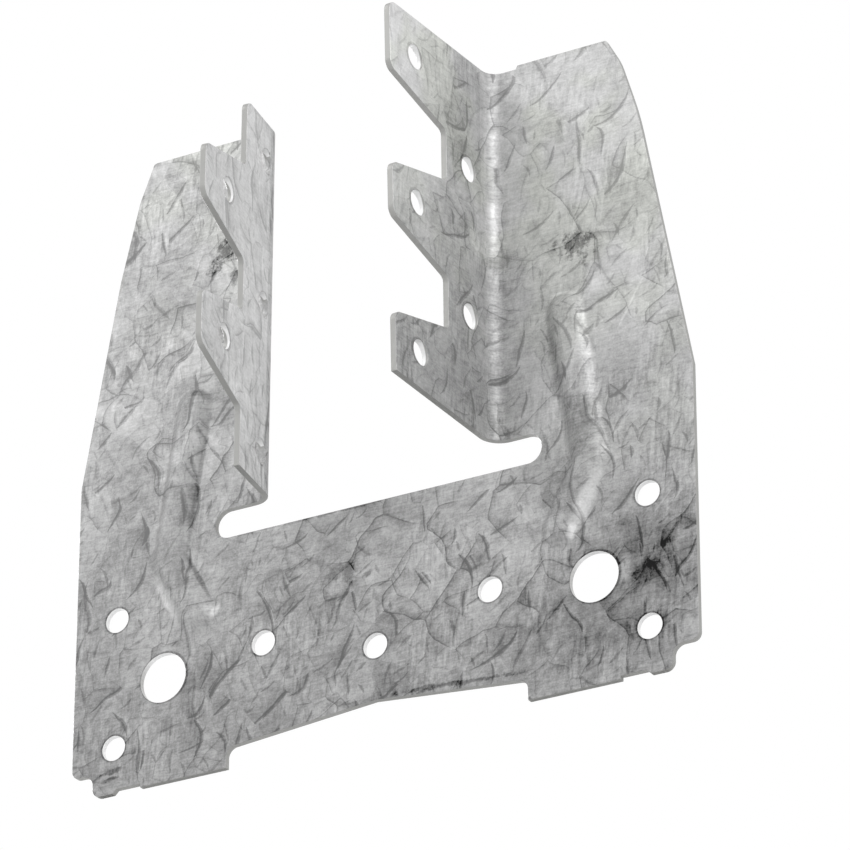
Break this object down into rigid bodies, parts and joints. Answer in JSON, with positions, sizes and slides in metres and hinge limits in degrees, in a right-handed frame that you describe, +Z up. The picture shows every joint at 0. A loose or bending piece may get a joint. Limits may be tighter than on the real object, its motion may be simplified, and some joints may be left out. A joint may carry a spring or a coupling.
{
  "type": "truss clip",
  "caption": "Truss clip folded from galvanised sheet: a nailed plate with two beaded legs and two toothed flanges that hold a rafter truss upright on a wall plate.",
  "frame": {"origin": "on the front face of the plate, the flange side, in the middle of the four outer nail holes", "axes": "+X along the wall plate, +Z up as the clip is fixed, -Y the way the two flanges fold, away from the wall plate and along the truss"},
  "size_m": [0.1061, 0.0287, 0.1075],
  "materials": {
    "galvanised_sheet": "hot-dip galvanised, dull, with a large flat spangle"
  },
  "bodies": {
    "root": {"truss_clip": "galvanised_sheet"}
  },
  "joints": []
}
